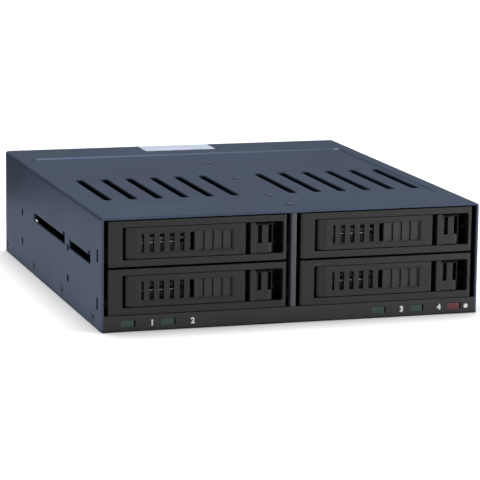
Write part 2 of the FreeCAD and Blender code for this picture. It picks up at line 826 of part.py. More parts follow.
def fan_screws():
    shapes = []
    for side in (-1, 1):
        for dx in (-fan_hole_span / 2, fan_hole_span / 2):
            for dz in (-fan_hole_span / 2, fan_hole_span / 2):
                shapes.append(pan_screw(side * fan_offset + dx, panel_rear_face, fan_middle + dz, (0, -1, 0),
                                        2.4, 0.8, 1.4, 8.0))
    return Part.makeCompound(shapes)


def backplane_screws():
    tab_back = backplane_face - 0.02
    shapes = []
    for side in (-1, 1):
        shapes.append(pan_screw(side * backplane_tab_x, tab_back, backplane_screw_height, (0, 1, 0),
                                2.2, 1.2, 1.2, 4.0))
    return Part.makeCompound(shapes)


# Tray pieces below are drawn in the tray's own frame: x from its left edge, y back from its
# face, z up from its bottom.
pin_x = recess_left + 0.5 + barrel_radius
recess_end = tray_width - recess_right
recess_top = tray_height - recess_high
lever_low = recess_low + face_gap
lever_high = recess_top - face_gap
lever_start = pin_x - barrel_radius
plate_start = pin_x + 1.7
latch_end = recess_end - latch_travel - latch_stop_gap
latch_start = latch_end - latch_width
lever_end = latch_start - latch_gap
middle_height = (lever_low + lever_high) / 2
back_face = front_depth - back_wall
right_wall = tray_width - front_wall
ceiling = tray_height - front_wall
tooth_high = tooth_low + tooth_height
tooth_back = pin_behind_face + 4.2
tab_spans = ((36.0, 44.0), (56.5, 64.5))
tab_screw_height = 9.0


def tray_front():
    plan = [(0, 0, front_round), (tray_width, 0, front_round), (tray_width, front_depth), (0, front_depth)]
    shell = prism(plan, "xy", 0, tray_height)
    window = [(recess_left, recess_low, 0.3), (recess_end, recess_low, recess_round)]
    window += [(recess_end, recess_top, recess_round), (recess_left, recess_top, 0.3)]
    cuts = [block(front_wall, right_wall, face_wall, back_face, front_wall, ceiling)]
    cuts.append(prism(window, "xz", -1, face_wall + 0.5))
    cuts.append(block(front_wall, swing_bay, face_wall, front_depth + 1, front_wall, ceiling))
    cuts.append(block(-1, front_wall + 1, tooth_back - 3.6, front_depth + 1, tooth_low - 0.6, tooth_high + 0.6))
    for x0, x1 in ((swing_bay + 1.4, 34.0), (46.0, 54.5)):
        cuts.append(prism(rect(x0, x1, 3.4, ceiling - 2.0, 1.0), "xz", back_face - 1, front_depth + 1))
    cuts.append(rod(pin_x, pin_behind_face, 0.4, (0, 0, 1), pin_radius + 0.02, tray_height - 0.8))
    for x0, x1 in tab_spans:
        cuts.append(rod((x0 + x1) / 2, back_face - 1, tab_screw_height, (0, 1, 0), 0.85, back_wall + 2))
    rib_y = face_wall + ear_thick + 2 * ear_play
    ribs = []
    for z0, z1 in ((front_wall - 0.1, front_wall + 0.8), (ceiling - 0.8, ceiling + 0.1)):
        ribs.append(block(latch_start - 1, right_wall, rib_y, rib_y + 1.0, z0, z1))
    peg = rod(right_wall + 0.1, latch_seat_depth, middle_height, (-1, 0, 0), 0.8, 1.6)
    return joined([without(shell, cuts)] + ribs + [peg])


def lever_spine():
    """Face plate, hinge barrel and the stiffening ribs behind the plate's edges."""
    face = face_set_back
    back = face + lever_plate
    plan = [(plate_start, face), (lever_end, face, lever_round), (lever_end, back), (plate_start, back)]
    barrel = rod(pin_x, pin_behind_face, lever_low, (0, 0, 1), barrel_radius, lever_high - lever_low)
    cheek = [(pin_x - 0.6, pin_behind_face - barrel_radius + 0.1), (plate_start, face), (plate_start + 1.8, face),
             (plate_start + 1.8, back + 1.0), (pin_x + 1.0, pin_behind_face + barrel_radius - 0.2)]
    shapes = [prism(plan, "xy", lever_low, lever_high), barrel, prism(cheek, "xy", lever_low, lever_high)]
    rib = [(pin_x, back - 0.2), (lever_end - 0.6, back - 0.2), (lever_end - 0.6, back + 0.8),
           (lever_end - 8, back + lever_rib_depth, 3), (pin_x, back + lever_rib_depth)]
    for z0 in (lever_low, lever_high - lever_rib):
        shapes.append(prism(rib, "xy", z0, z0 + lever_rib))
    return shapes


def lever_tooth():
    """Tooth that draws the tray home behind the cage's side flange."""
    tooth_front = tooth_back - tooth_thick
    arm = [(pin_x - 1, tooth_front - 3), (pin_x - 3.2, tooth_front), (-tooth_reach, tooth_front, 0.5),
           (-tooth_reach, tooth_back, 0.8), (pin_x - 1, tooth_back, 1.0),
           (pin_x + pin_radius, pin_behind_face + pin_radius)]
    return prism(arm, "xy", tooth_low, tooth_high)


def grip_facets(start, end, face):
    """Wedges that turn the finger grip into a row of shallow facets."""
    step = (end - start) / grip_steps
    wedges = []
    for i in range(grip_steps):
        x0 = start + i * step
        wedge = [(x0, face - 1), (x0 + step, face - 1), (x0 + step, face + grip_sink), (x0, face)]
        wedges.append(prism(wedge, "xy", lever_low + vent_margin, lever_high - vent_margin))
    return wedges


def lever():
    face = face_set_back
    back = face + lever_plate
    vents_start = lever_start + first_vent_end
    vents_end = vents_start + (vent_count - 1) * vent_pitch
    low = lever_low + vent_margin
    high = lever_high - vent_margin
    cuts = [rod(pin_x, pin_behind_face, 0, (0, 0, 1), pin_radius + pin_play, tray_height)]
    coil = pin_radius + coil_clear + 2 * wire
    z0 = middle_height - coil_height / 2 - coil_room
    z1 = middle_height + coil_height / 2 + coil_room
    cuts.append(rod(pin_x, pin_behind_face, z0, (0, 0, 1), coil - 0.15, z1 - z0))
    cuts.append(block(lever_start - 1, pin_x + 4.0, pin_behind_face, front_depth, z0, z1))
    cuts.append(block(pin_x + 1.2, pin_x + 4.0, back + 0.05, front_depth, z0, z1))
    band_start = vents_start - first_vent_width - band_edge
    band = rect(band_start, lever_end - grip_end + band_edge, low - band_edge, high + band_edge, band_edge)
    cuts.append(prism(band, "xz", face - 1, face + band_sink))
    for i in range(vent_count):
        x1 = vents_start + i * vent_pitch
        x0 = x1 - (vent_width if i else first_vent_width)
        cuts.append(prism(rect(x0, x1, low, high, 0.2), "xz", face - 1, back + 0.5))
    cuts += grip_facets(vents_end + grip_gap, lever_end - grip_end, face + band_sink)
    return without(joined(lever_spine() + [lever_tooth()]), cuts)


def lever_pin():
    return rod(pin_x, pin_behind_face, 0.5, (0, 0, 1), pin_radius, tray_height - 1.0)


def lever_spring():
    """Torsion spring on the lever's pin, with its long leg along the back of the lever."""
    inner = pin_radius + coil_clear
    outer = inner + wire
    coil = rod(pin_x, pin_behind_face, middle_height - coil_height / 2, (0, 0, 1), outer, coil_height)
    coil = coil.cut(rod(pin_x, pin_behind_face, 0, (0, 0, 1), inner, tray_height))
    leg_y = face_set_back + lever_plate + 0.1 + wire / 2
    leg = rod(pin_x + inner + 0.2, leg_y, middle_height, (1, 0, 0), wire / 2, spring_leg)
    return joined([coil, leg])


def latch():
    face = latch_rib_rise + rib_set_back
    back = face + latch_plate
    post = latch_start + latch_rib
    end_wall = latch_end - 1.6
    plan = [(latch_start, rib_set_back, 0.3), (post, rib_set_back, 0.3), (post, face)]
    plan += [(latch_end, face, latch_round), (latch_end, back + 1.8), (end_wall, back + 1.8)]
    plan += [(end_wall, back), (post, back), (post, back + 4.2), (latch_start, back + 4.2)]
    body = prism(plan, "xy", lever_low, lever_high)
    ear_y = face_wall + ear_play
    ears = block(latch_start, end_wall, ear_y, ear_y + ear_thick, lever_low - latch_ear, lever_high + latch_ear)
    seat = block(latch_start + 1, latch_end - latch_seat, back - 0.5, latch_seat_depth + latch_spring_radius + 0.2,
                 middle_height - 2.2, middle_height + 2.2)
    tongue = block(lever_end + tongue_gap, latch_start + 1, back + 2.6, back + 4.2,
                   middle_height - 3, middle_height + 3)
    body = joined([body, ears, seat, tongue])
    slot_top = recess_top - latch_slot_drop
    cuts = []
    for i, from_start in enumerate(latch_slot_ends):
        x1 = latch_start + from_start
        cuts.append(block(x1 - latch_slot_width, x1, face - 1, back + latch_slot_floors[i],
                          slot_top - latch_slot_height, slot_top))
    slope = [(rib_set_back - 1, lever_high - latch_slope), (face, lever_high - latch_slope),
             (face + latch_slope, lever_high), (face + latch_slope, lever_high + 1), (rib_set_back - 1, lever_high + 1)]
    cuts.append(prism(slope, "yz", post, latch_end + 1))
    return without(body, cuts)


def latch_spring():
    x0 = latch_end - latch_seat + seam
    coil = rod(x0, latch_seat_depth, middle_height, (1, 0, 0), latch_spring_radius, right_wall - seam - x0)
    return coil.cut(rod(x0 - 1, latch_seat_depth, middle_height, (1, 0, 0), latch_spring_radius - 0.5, 20))


def tray_screws():
    back = front_depth + seam + carrier_sheet
    return Part.makeCompound([pan_screw((x0 + x1) / 2, back, tab_screw_height, (0, -1, 0), 1.6, 0.9, 0.8, 2.6)
                              for x0, x1 in tab_spans])


def carrier():
    left = (tray_width - carrier_width) / 2
    right = left + carrier_width
    top = carrier_floor + carrier_flange
    start = front_depth + 0.3
    end = backplane_from_front - 8.5
    path = [(left, top), (left, carrier_floor), (right, carrier_floor), (right, top)]
    tray = prism(folded(path, carrier_sheet, fold_inside), "xz", start, end)
    tab_face = front_depth + seam
    pieces = [tray]
    for x0, x1 in tab_spans:
        tab = [(tab_face, tab_screw_height + 2.6), (tab_face, carrier_floor), (tab_face + 3, carrier_floor)]
        pieces.append(prism(folded(tab, carrier_sheet, fold_inside), "yz", x0, x1))
    tray = joined(pieces)
    middle = tray_width / 2
    cuts = []
    for i in range(2):
        y = drive_start + drive_length - drive_hole_from_rear - i * drive_hole_pitch
        for side in (-1, 1):
            cuts.append(rod(middle + side * drive_hole_span / 2, y, carrier_floor - 1, (0, 0, 1),
                            drive_hole_radius, 3))
    first = drive_start + (drive_length - (carrier_slot_count - 1) * carrier_slot_pitch) / 2
    for i in range(carrier_slot_count):
        y = first + i * carrier_slot_pitch
        cuts.append(slot(middle - carrier_slot_length / 2, middle + carrier_slot_length / 2,
                         y - carrier_slot / 2, y + carrier_slot / 2, "xy", carrier_floor - 1, carrier_floor + 2))
    for x0, x1 in tab_spans:
        cuts.append(rod((x0 + x1) / 2, tab_face - 1, tab_screw_height, (0, 1, 0), 0.85, 3))
    return without(tray, cuts)


def build_chassis():
    save("top_cover", top_cover())
    save("base_pan", base_pan())
    save("centre_wall", centre_wall())
    save("centre_post", centre_post())
    save("rear_panel", rear_panel())
    save("front_bezel", front_bezel())
    centres = lens_centres()
    save("green_lenses", Part.makeCompound([lens(x) for x in centres[:-1]]))
    save("red_lens", lens(centres[-1]))
    save("led_board", led_board())
    save("backplane", backplane())
    connectors = [moved(drive_connector(), x, front, z) for x, z in trays.values()]
    save("drive_connectors", Part.makeCompound(connectors))
    save("io_board", io_board())
    save("io_standoffs", io_standoffs())
    save("board_header", board_header())
    save("data_ports", Part.makeCompound(data_ports()))
    save("power_sockets", Part.makeCompound(power_sockets()))
    for name, side in (("left", -1), ("right", 1)):
        save("fan_frame_" + name, fan_frame(side * fan_offset))
        save("fan_rotor_" + name, fan_rotor(side * fan_offset))
    save("fan_screws", fan_screws())
    save("backplane_screws", backplane_screws())
    save("cover_screws", Part.makeCompound([flush_screw(*spot) for spot in side_spots() + return_spots()]))
    save("divider_screws", Part.makeCompound([flush_screw(*spot) for spot in divider_spots()]))


def build_trays():
    makers = {"carrier": carrier, "tray_front": tray_front, "lever": lever, "lever_pin": lever_pin,
              "lever_spring": lever_spring, "latch": latch, "latch_spring": latch_spring,
              "tray_screws": tray_screws}
    for name, make in makers.items():
        shape = make()
        for number, (x, z) in trays.items():
            save(name + "_" + str(number), moved(shape, x, front, z))


build_chassis()
build_trays()
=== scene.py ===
import json
import math
import bmesh
import bpy
from mathutils import Matrix, Vector


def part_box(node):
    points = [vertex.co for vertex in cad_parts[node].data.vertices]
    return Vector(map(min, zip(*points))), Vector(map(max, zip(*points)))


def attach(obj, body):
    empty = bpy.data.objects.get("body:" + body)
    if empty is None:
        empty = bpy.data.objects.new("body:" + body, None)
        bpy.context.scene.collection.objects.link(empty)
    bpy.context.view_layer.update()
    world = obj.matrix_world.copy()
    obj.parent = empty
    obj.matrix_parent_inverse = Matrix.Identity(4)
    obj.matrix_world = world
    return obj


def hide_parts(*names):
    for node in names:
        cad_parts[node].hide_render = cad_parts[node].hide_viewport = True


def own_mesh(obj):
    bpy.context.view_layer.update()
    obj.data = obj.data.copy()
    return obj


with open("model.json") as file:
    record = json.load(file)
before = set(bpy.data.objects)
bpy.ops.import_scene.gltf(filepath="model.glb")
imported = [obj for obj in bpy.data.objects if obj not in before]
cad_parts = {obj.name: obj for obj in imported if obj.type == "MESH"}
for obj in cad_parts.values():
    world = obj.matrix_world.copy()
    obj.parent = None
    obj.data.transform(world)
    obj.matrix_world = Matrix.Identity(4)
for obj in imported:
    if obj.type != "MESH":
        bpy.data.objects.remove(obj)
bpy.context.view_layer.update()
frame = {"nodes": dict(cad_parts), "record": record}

scene = bpy.context.scene
nodes = frame["nodes"]
mm = 0.001
print("frame loaded:", len(nodes), "nodes")


cameraSet = {"place": (-0.2965, -0.9623, 0.2051), "yaw": 17.397, "down": 10.638, "roll": 0.703,
             "lens": 192.36, "sensor": 36, "near": 0.05, "far": 30}


def makeCamera(look):
    yaw, down, roll = (math.radians(look[key]) for key in ("yaw", "down", "roll"))
    forward = Vector((math.sin(yaw) * math.cos(down), math.cos(yaw) * math.cos(down),
                      -math.sin(down)))
    right = Vector((math.cos(yaw), -math.sin(yaw), 0))
    up = right.cross(forward)
    turnedRight = right * math.cos(roll) + up * math.sin(roll)
    turnedUp = up * math.cos(roll) - right * math.sin(roll)
    data = bpy.data.cameras.new("camera")
    data.lens = look["lens"]
    data.sensor_width = look["sensor"]
    data.clip_start = look["near"]
    data.clip_end = look["far"]
    camera = bpy.data.objects.new("camera", data)
    scene.collection.objects.link(camera)
    turn = Matrix((turnedRight, turnedUp, -forward)).transposed()
    camera.matrix_world = Matrix.Translation(look["place"]) @ turn.to_4x4()
    scene.camera = camera


makeCamera(cameraSet)
scene.view_settings.view_transform = "Standard"
print("camera set")


def put(tree, kind, inputs=None, **settings):  # one node, with its sockets set or joined
    node = tree.nodes.new(kind)
    for key, value in settings.items():
        setattr(node, key, value)
    for key, value in (inputs or {}).items():
        if isinstance(value, bpy.types.NodeSocket):
            tree.links.new(value, node.inputs[key])
        else:
            node.inputs[key].default_value = value
    return node


def newGroup(name, given, made):
    tree = bpy.data.node_groups.new(name, "ShaderNodeTree")
    for label, value in given.items():
        socket = tree.interface.new_socket(name=label, in_out="INPUT",
                                           socket_type="NodeSocketFloat")
        socket.default_value = value
    for label, kind in made.items():
        tree.interface.new_socket(name=label, in_out="OUTPUT", socket_type=kind)
    return tree, tree.nodes.new("NodeGroupInput"), tree.nodes.new("NodeGroupOutput")


def maths(tree, operation, first, second=0.0, clamp=False):
    node = put(tree, "ShaderNodeMath", {0: first, 1: second}, operation=operation, use_clamp=clamp)
    return node.outputs[0]


def linear(colour):  # 0 to 255 screen values to the shader's scale
    made = []
    for value in colour:
        share = value / 255
        made.append(share / 12.92 if share <= 0.04045 else ((share + 0.055) / 1.055) ** 2.4)
    return (*made, 1)


def blendColours(tree, amount, first, second):
    node = put(tree, "ShaderNodeMix", data_type="RGBA")
    for slotIndex, value in ((0, amount), (6, first), (7, second)):
        if isinstance(value, bpy.types.NodeSocket):
            tree.links.new(value, node.inputs[slotIndex])
        else:
            node.inputs[slotIndex].default_value = value
    return node.outputs[2]


def buildSurfaceGrain():  # fine relief with a slow drift of tone
    tree, start, end = newGroup("surfaceGrain", {"Scale": 2500, "Stretch": 1, "Drift": 25},
                                {"Height": "NodeSocketFloat", "Tone": "NodeSocketFloat"})
    place = put(tree, "ShaderNodeTexCoord").outputs["Object"]
    split = put(tree, "ShaderNodeSeparateXYZ", {0: place})
    along = maths(tree, "DIVIDE", split.outputs[0], start.outputs["Stretch"])
    joined = put(tree, "ShaderNodeCombineXYZ", {0: along, 1: split.outputs[1], 2: split.outputs[2]})
    drawn = joined.outputs[0]
    fine = put(tree, "ShaderNodeTexNoise", {"Vector": drawn, "Scale": start.outputs["Scale"],
                                            "Detail": 3, "Roughness": 0.55})
    pebbles = put(tree, "ShaderNodeTexVoronoi", {"Vector": drawn, "Scale": start.outputs["Scale"]},
                  feature="SMOOTH_F1")
    relief = maths(tree, "ADD", fine.outputs[0], maths(tree, "MULTIPLY", pebbles.outputs[0], 0.4))
    slow = put(tree, "ShaderNodeTexNoise", {"Vector": place, "Scale": start.outputs["Drift"],
                                            "Detail": 4, "Roughness": 0.6})
    tree.links.new(relief, end.inputs["Height"])
    tree.links.new(slow.outputs[0], end.inputs["Tone"])
    return tree


def buildEdgeWear():  # rounds the shading at sharp edges, and marks those edges: rubbed edges on most finishes, painted shade along the edges and creases of the powder coat, and a painted highlight on the screw rims
    tree, start, end = newGroup("edgeWearAndPaintedLight", {"Radius": 0.0004, "Breakup": 300},
                                {"Normal": "NodeSocketVector", "Edge": "NodeSocketFloat"})
    rounded = put(tree, "ShaderNodeBevel", {"Radius": start.outputs["Radius"]}, samples=4)
    flat = put(tree, "ShaderNodeNewGeometry").outputs["Normal"]
    match = put(tree, "ShaderNodeVectorMath", {0: rounded.outputs[0], 1: flat},
                operation="DOT_PRODUCT")
    away = maths(tree, "SUBTRACT", 1.0, match.outputs["Value"], clamp=True)
    marked = maths(tree, "MULTIPLY", away, 5.0, clamp=True)
    place = put(tree, "ShaderNodeTexCoord").outputs["Object"]
    noise = put(tree, "ShaderNodeTexNoise", {"Vector": place, "Scale": start.outputs["Breakup"],
                                             "Detail": 5})
    broken = maths(tree, "MULTIPLY", marked, maths(tree, "ADD", noise.outputs[0], 0.25), clamp=True)
    tree.links.new(rounded.outputs[0], end.inputs["Normal"])
    tree.links.new(broken, end.inputs["Edge"])
    return tree


def buildSettledDust():  # lies on what faces up
    tree, start, end = newGroup("settledDust", {"Amount": 0.1, "Scale": 600},
                                {"Mask": "NodeSocketFloat"})
    normal = put(tree, "ShaderNodeNewGeometry").outputs["Normal"]
    facing = put(tree, "ShaderNodeSeparateXYZ", {0: normal})
    up = maths(tree, "MULTIPLY", facing.outputs[2], start.outputs["Amount"], clamp=True)
    place = put(tree, "ShaderNodeTexCoord").outputs["Object"]
    specks = put(tree, "ShaderNodeTexNoise", {"Vector": place, "Scale": start.outputs["Scale"],
                                              "Detail": 6, "Roughness": 0.75})
    patchy = put(tree, "ShaderNodeMapRange", {"Value": specks.outputs[0], "From Min": 0.4,
                                              "From Max": 0.75})
    tree.links.new(maths(tree, "MULTIPLY", up, patchy.outputs[0], clamp=True), end.inputs["Mask"])
    return tree


def buildRecessShade():  # marks narrow gaps and hollows, where little light gets in
    tree, start, end = newGroup("recessShade", {"Distance": 0.003}, {"Mask": "NodeSocketFloat"})
    openness = put(tree, "ShaderNodeAmbientOcclusion", {"Distance": start.outputs["Distance"]},
                   samples=8)
    shut = put(tree, "ShaderNodeMapRange", {"Value": openness.outputs["AO"], "From Min": 0.72,
                                            "From Max": 0.3})
    tree.links.new(shut.outputs[0], end.inputs["Mask"])
    return tree


surfaceGrain = buildSurfaceGrain()
edgeWearAndPaintedLight = buildEdgeWear()
settledDust = buildSettledDust()
recessShade = buildRecessShade()


def useGroup(tree, group, **inputs):
    node = put(tree, "ShaderNodeGroup", node_tree=group)
    for label, value in inputs.items():
        node.inputs[label].default_value = value
    return node


finishShared = {"drift": 25, "edgeBreakup": 300, "dustScale": 600, "dustColour": (150, 148, 144),
                "dustRough": 0.3, "recessColour": (6, 6, 7), "specular": 0.5, "dullRough": 0.3,
                "toneFrom": 0.3, "toneTo": 0.7}


def makeFinish(name, look):  # paint, plastic, metal, label and print all come from this one
    shared = finishShared
    material = bpy.data.materials.new(name)
    material.use_nodes = True
    tree = material.node_tree
    shader = tree.nodes["Principled BSDF"]
    grain = useGroup(tree, surfaceGrain, Scale=look["grainScale"], Stretch=look.get("stretch", 1),
                     Drift=look.get("drift", shared["drift"]))
    edgeMarks = useGroup(tree, edgeWearAndPaintedLight, Radius=look["edgeRadius"] * mm, Breakup=shared["edgeBreakup"])
    dust = useGroup(tree, settledDust, Amount=look.get("dust", 0), Scale=shared["dustScale"])
    dark = linear([value * (1 - look["toneSpread"]) for value in look["colour"]])
    light = linear([min(255, value * (1 + look["toneSpread"])) for value in look["colour"]])
    tone = {"Value": grain.outputs["Tone"], "From Min": shared["toneFrom"],
            "From Max": shared["toneTo"]}
    toned = put(tree, "ShaderNodeMapRange", tone)
    colour = blendColours(tree, toned.outputs[0], dark, light)
    edgeWearAndLight = maths(tree, "MULTIPLY", edgeMarks.outputs["Edge"], look["edgeAmount"], clamp=True)
    # the edge colour is rubbing on most finishes, painted shade along the powder coat's edges and
    # creases, and a painted highlight on the screw rims
    colour = blendColours(tree, edgeWearAndLight, colour, linear(look["edgeColour"]))
    colour = blendColours(tree, dust.outputs["Mask"], colour, linear(shared["dustColour"]))
    specular = look.get("specular", shared["specular"])
    # painted shade: base colour and gloss are darkened in narrow gaps and hollows, where little
    # light gets in
    if "recess" in look:
        shade = useGroup(tree, recessShade, Distance=look["recessReach"] * mm)
        shaded = maths(tree, "MULTIPLY", shade.outputs["Mask"], look["recess"], clamp=True)
        colour = blendColours(tree, shaded, colour, linear(shared["recessColour"]))
        gloss = maths(tree, "MULTIPLY", maths(tree, "SUBTRACT", 1.0, shaded), specular)
    tree.links.new(colour, shader.inputs["Base Color"])
    rough = put(tree, "ShaderNodeMapRange", {**tone, "To Min": look["rough"] - look["roughSpread"],
                                             "To Max": look["rough"] + look["roughSpread"]})
    dusty = maths(tree, "MULTIPLY", dust.outputs["Mask"], shared["dustRough"])
    dulled = maths(tree, "ADD", rough.outputs[0], dusty, clamp=True)
    if "edgeDull" in look:
        extra = maths(tree, "MULTIPLY", edgeWearAndLight, look["edgeDull"] * shared["dullRough"])
        dulled = maths(tree, "ADD", dulled, extra, clamp=True)
        lost = maths(tree, "MULTIPLY", edgeWearAndLight, look["edgeDull"])
        kept = maths(tree, "SUBTRACT", 1.0, lost, clamp=True)
        metal = maths(tree, "MULTIPLY", kept, look.get("metal", 0))
        tree.links.new(metal, shader.inputs["Metallic"])
    tree.links.new(dulled, shader.inputs["Roughness"])
    bump = put(tree, "ShaderNodeBump", {"Height": grain.outputs["Height"],
                                        "Normal": edgeMarks.outputs["Normal"],
                                        "Strength": look["grainStrength"],
                                        "Distance": look["grainDepth"] * mm})
    tree.links.new(bump.outputs[0], shader.inputs["Normal"])
    shader.inputs["Metallic"].default_value = look.get("metal", 0)
    shader.inputs["Specular IOR Level"].default_value = specular
    if "recess" in look:
        tree.links.new(gloss, shader.inputs["Specular IOR Level"])
    shader.inputs["Specular Tint"].default_value = (*look.get("specularTint", (1, 1, 1)), 1)
    return material


looks = {
    # powder coat: the dark edge colour is painted shade along edges and creases, and the recess
    # darkening is painted shade in gaps and holes
    "powderCoat": {"colour": (75, 86, 105), "metal": 0.45, "toneSpread": 0.04,
                   "edgeColour": (34, 41, 54), "edgeAmount": 0.8, "edgeRadius": 0.3, "rough": 0.42,
                   "roughSpread": 0.05, "grainScale": 2600, "grainStrength": 0.35,
                   "grainDepth": 0.05, "dust": 0.04, "specular": 0.2,
                   "specularTint": (0.56, 0.66, 0.86), "recess": 0.9, "recessReach": 3.5,
                   "edgeDull": 1.0},
    "zincSheet": {"colour": (150, 152, 154), "toneSpread": 0.07, "edgeColour": (214, 214, 214),
                  "edgeAmount": 0.6, "edgeRadius": 0.2, "rough": 0.38, "roughSpread": 0.08,
                  "grainScale": 900, "stretch": 12, "grainStrength": 0.25, "grainDepth": 0.03,
                  "metal": 0.9, "drift": 180},
    "springSteel": {"colour": (160, 159, 156), "toneSpread": 0.05, "edgeColour": (220, 220, 220),
                    "edgeAmount": 0.3, "edgeRadius": 0.1, "rough": 0.25, "roughSpread": 0.06,
                    "grainScale": 3000, "stretch": 6, "grainStrength": 0.2, "grainDepth": 0.02,
                    "metal": 1.0, "drift": 400},
    # screws: the light edge colour is a painted highlight on the rims, and the recess darkening is
    # painted shade in the driving recess
    "blackScrew": {"colour": (46, 50, 58), "toneSpread": 0.08, "edgeColour": (112, 117, 126),
                   "edgeAmount": 0.5, "edgeRadius": 0.2, "rough": 0.36, "roughSpread": 0.06,
                   "grainScale": 3500, "grainStrength": 0.25, "grainDepth": 0.02, "metal": 0.5,
                   "drift": 500, "recess": 0.95, "recessReach": 1.5},
    "mouldedBlack": {"colour": (26, 26, 27), "toneSpread": 0.05, "edgeColour": (70, 70, 72),
                     "edgeAmount": 0.4, "edgeRadius": 0.25, "rough": 0.46, "roughSpread": 0.06,
                     "grainScale": 3200, "grainStrength": 0.3, "grainDepth": 0.04, "dust": 0.08,
                     "drift": 60, "recess": 0.85, "recessReach": 3.0},
    "bezelBlack": {"colour": (38, 38, 41), "toneSpread": 0.04, "edgeColour": (74, 74, 77),
                   "edgeAmount": 0.4, "edgeRadius": 0.3, "rough": 0.4, "roughSpread": 0.05,
                   "grainScale": 3200, "grainStrength": 0.25, "grainDepth": 0.03, "dust": 0.06,
                   "drift": 50, "recess": 0.8, "recessReach": 2.5},
    "postGrey": {"colour": (74, 75, 79), "toneSpread": 0.03, "edgeColour": (110, 110, 114),
                 "edgeAmount": 0.4, "edgeRadius": 0.25, "rough": 0.4, "roughSpread": 0.05,
                 "grainScale": 2800, "grainStrength": 0.3, "grainDepth": 0.04, "drift": 50},
    # latch spring: its dark colour is painted shade of the deep recess it sits in
    "darkSpring": {"colour": (52, 50, 48), "toneSpread": 0.08, "edgeColour": (90, 88, 84),
                   "edgeAmount": 0.3, "edgeRadius": 0.08, "rough": 0.4, "roughSpread": 0.06,
                   "grainScale": 3000, "grainStrength": 0.2, "grainDepth": 0.02, "metal": 0.9,
                   "drift": 400},
    "socketBlack": {"colour": (36, 36, 37), "toneSpread": 0.06, "edgeColour": (70, 70, 70),
                    "edgeAmount": 0.4, "edgeRadius": 0.15, "rough": 0.55, "roughSpread": 0.06,
                    "grainScale": 2200, "grainStrength": 0.35, "grainDepth": 0.04, "dust": 0.1,
                    "drift": 120},
    "fanBlack": {"colour": (33, 33, 35), "toneSpread": 0.05, "edgeColour": (66, 66, 68),
                 "edgeAmount": 0.45, "edgeRadius": 0.25, "rough": 0.36, "roughSpread": 0.06,
                 "grainScale": 2600, "grainStrength": 0.2, "grainDepth": 0.03, "dust": 0.12,
                 "drift": 90},
    "turnedBrass": {"colour": (200, 166, 96), "toneSpread": 0.05, "edgeColour": (226, 200, 140),
                    "edgeAmount": 0.4, "edgeRadius": 0.15, "rough": 0.28, "roughSpread": 0.06,
                    "grainScale": 1800, "grainStrength": 0.2, "grainDepth": 0.02, "metal": 1.0,
                    "drift": 200},
    "tinnedMetal": {"colour": (196, 196, 194), "toneSpread": 0.05, "edgeColour": (224, 224, 222),
                    "edgeAmount": 0.3, "edgeRadius": 0.08, "rough": 0.3, "roughSpread": 0.06,
                    "grainScale": 2500, "grainStrength": 0.2, "grainDepth": 0.02, "metal": 1.0,
                    "drift": 400},
    "chipBlack": {"colour": (40, 40, 42), "toneSpread": 0.06, "edgeColour": (74, 74, 76),
                  "edgeAmount": 0.3, "edgeRadius": 0.1, "rough": 0.6, "roughSpread": 0.05,
                  "grainScale": 5000, "grainStrength": 0.4, "grainDepth": 0.03, "drift": 300},
    "ceramicTan": {"colour": (168, 138, 100), "toneSpread": 0.08, "edgeColour": (190, 170, 140),
                   "edgeAmount": 0.2, "edgeRadius": 0.08, "rough": 0.5, "roughSpread": 0.05,
                   "grainScale": 4000, "grainStrength": 0.2, "grainDepth": 0.02, "drift": 500},
    "labelPaper": {"colour": (206, 218, 236), "toneSpread": 0.03, "edgeColour": (236, 236, 236),
                   "edgeAmount": 0.2, "edgeRadius": 0.05, "rough": 0.5, "roughSpread": 0.06,
                   "grainScale": 1400, "grainStrength": 0.2, "grainDepth": 0.02, "dust": 0.05,
                   "drift": 90},
    "printWhite": {"colour": (222, 222, 222), "toneSpread": 0.03, "edgeColour": (235, 235, 235),
                   "edgeAmount": 0.1, "edgeRadius": 0.03, "rough": 0.5, "roughSpread": 0.04,
                   "grainScale": 6000, "grainStrength": 0.2, "grainDepth": 0.01, "drift": 800},
}
finishes = {name: makeFinish(name, look) for name, look in looks.items()}


lensMoulding = {"ribScale": 400, "cloudScale": 700, "cloudDetail": 3, "edgeRadius": 0.2,
                "breakup": 500, "ribStrength": 0.3, "ribDepth": 0.05, "rough": 0.22, "coat": 0.5,
                "coatRough": 0.08}
lenses = {"greenLens": {"deep": (20, 46, 40), "bright": (36, 82, 66)},
          "redLens": {"deep": (70, 18, 20), "bright": (124, 46, 44)}}


def makeLens(name, look):  # tinted clear moulding with a ribbed back
    material = bpy.data.materials.new(name)
    material.use_nodes = True
    tree = material.node_tree
    shader = tree.nodes["Principled BSDF"]
    place = put(tree, "ShaderNodeTexCoord").outputs["Object"]
    ribs = put(tree, "ShaderNodeTexWave", {"Vector": place, "Scale": look["ribScale"],
                                           "Distortion": 0.0},
               wave_type="BANDS", bands_direction="X")
    cloud = put(tree, "ShaderNodeTexNoise", {"Vector": place, "Scale": look["cloudScale"],
                                             "Detail": look["cloudDetail"]})
    mixed = maths(tree, "MULTIPLY", ribs.outputs["Fac"], cloud.outputs[0])
    colour = blendColours(tree, mixed, linear(look["deep"]), linear(look["bright"]))
    tree.links.new(colour, shader.inputs["Base Color"])
    edgeMarks = useGroup(tree, edgeWearAndPaintedLight, Radius=look["edgeRadius"] * mm, Breakup=look["breakup"])
    bump = put(tree, "ShaderNodeBump", {"Height": ribs.outputs["Fac"],
                                        "Normal": edgeMarks.outputs["Normal"],
                                        "Strength": look["ribStrength"],
                                        "Distance": look["ribDepth"] * mm})
    tree.links.new(bump.outputs[0], shader.inputs["Normal"])
    shader.inputs["Roughness"].default_value = look["rough"]
    shader.inputs["Coat Weight"].default_value = look["coat"]
    shader.inputs["Coat Roughness"].default_value = look["coatRough"]
    return material


